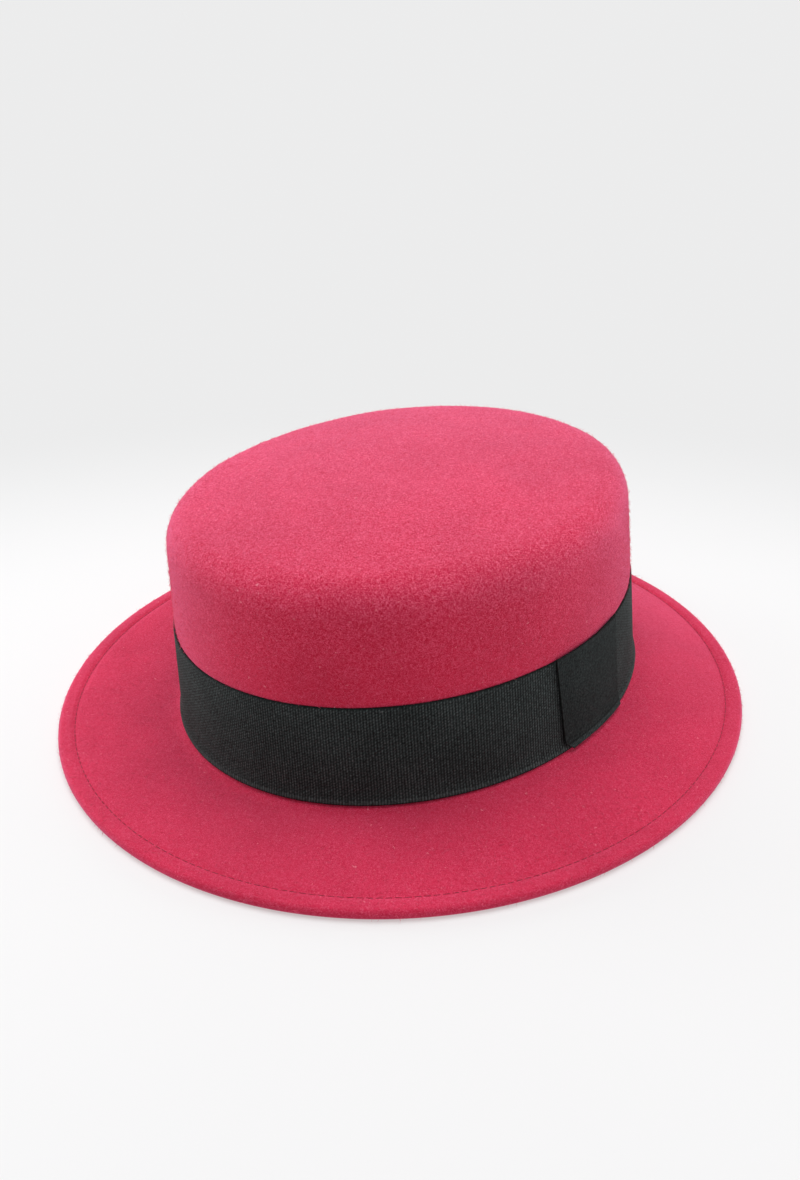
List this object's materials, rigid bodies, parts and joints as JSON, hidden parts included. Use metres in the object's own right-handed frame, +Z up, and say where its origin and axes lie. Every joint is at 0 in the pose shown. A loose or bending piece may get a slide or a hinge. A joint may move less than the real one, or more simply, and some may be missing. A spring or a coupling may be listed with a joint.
{
  "type": "felt boater hat",
  "caption": "Crimson wool felt boater hat with a flat oval crown, a level stitched brim, a black ribbon band and a ribbon tab over its join.",
  "frame": {"origin": "middle of the brim's outline, on the surface that the brim rests on", "axes": "+Z up, -Y to the front of the hat, +X to the wearer's left, where the ribbon tab is"},
  "size_m": [0.2752, 0.2944, 0.0985],
  "materials": {
    "felt": "crimson wool felt, matt with a soft nap",
    "ribbon": "black ribbed ribbon, matt"
  },
  "bodies": {
    "root": {"felt_body": "felt", "ribbon_band": "ribbon", "band_tab": "ribbon"}
  },
  "joints": []
}
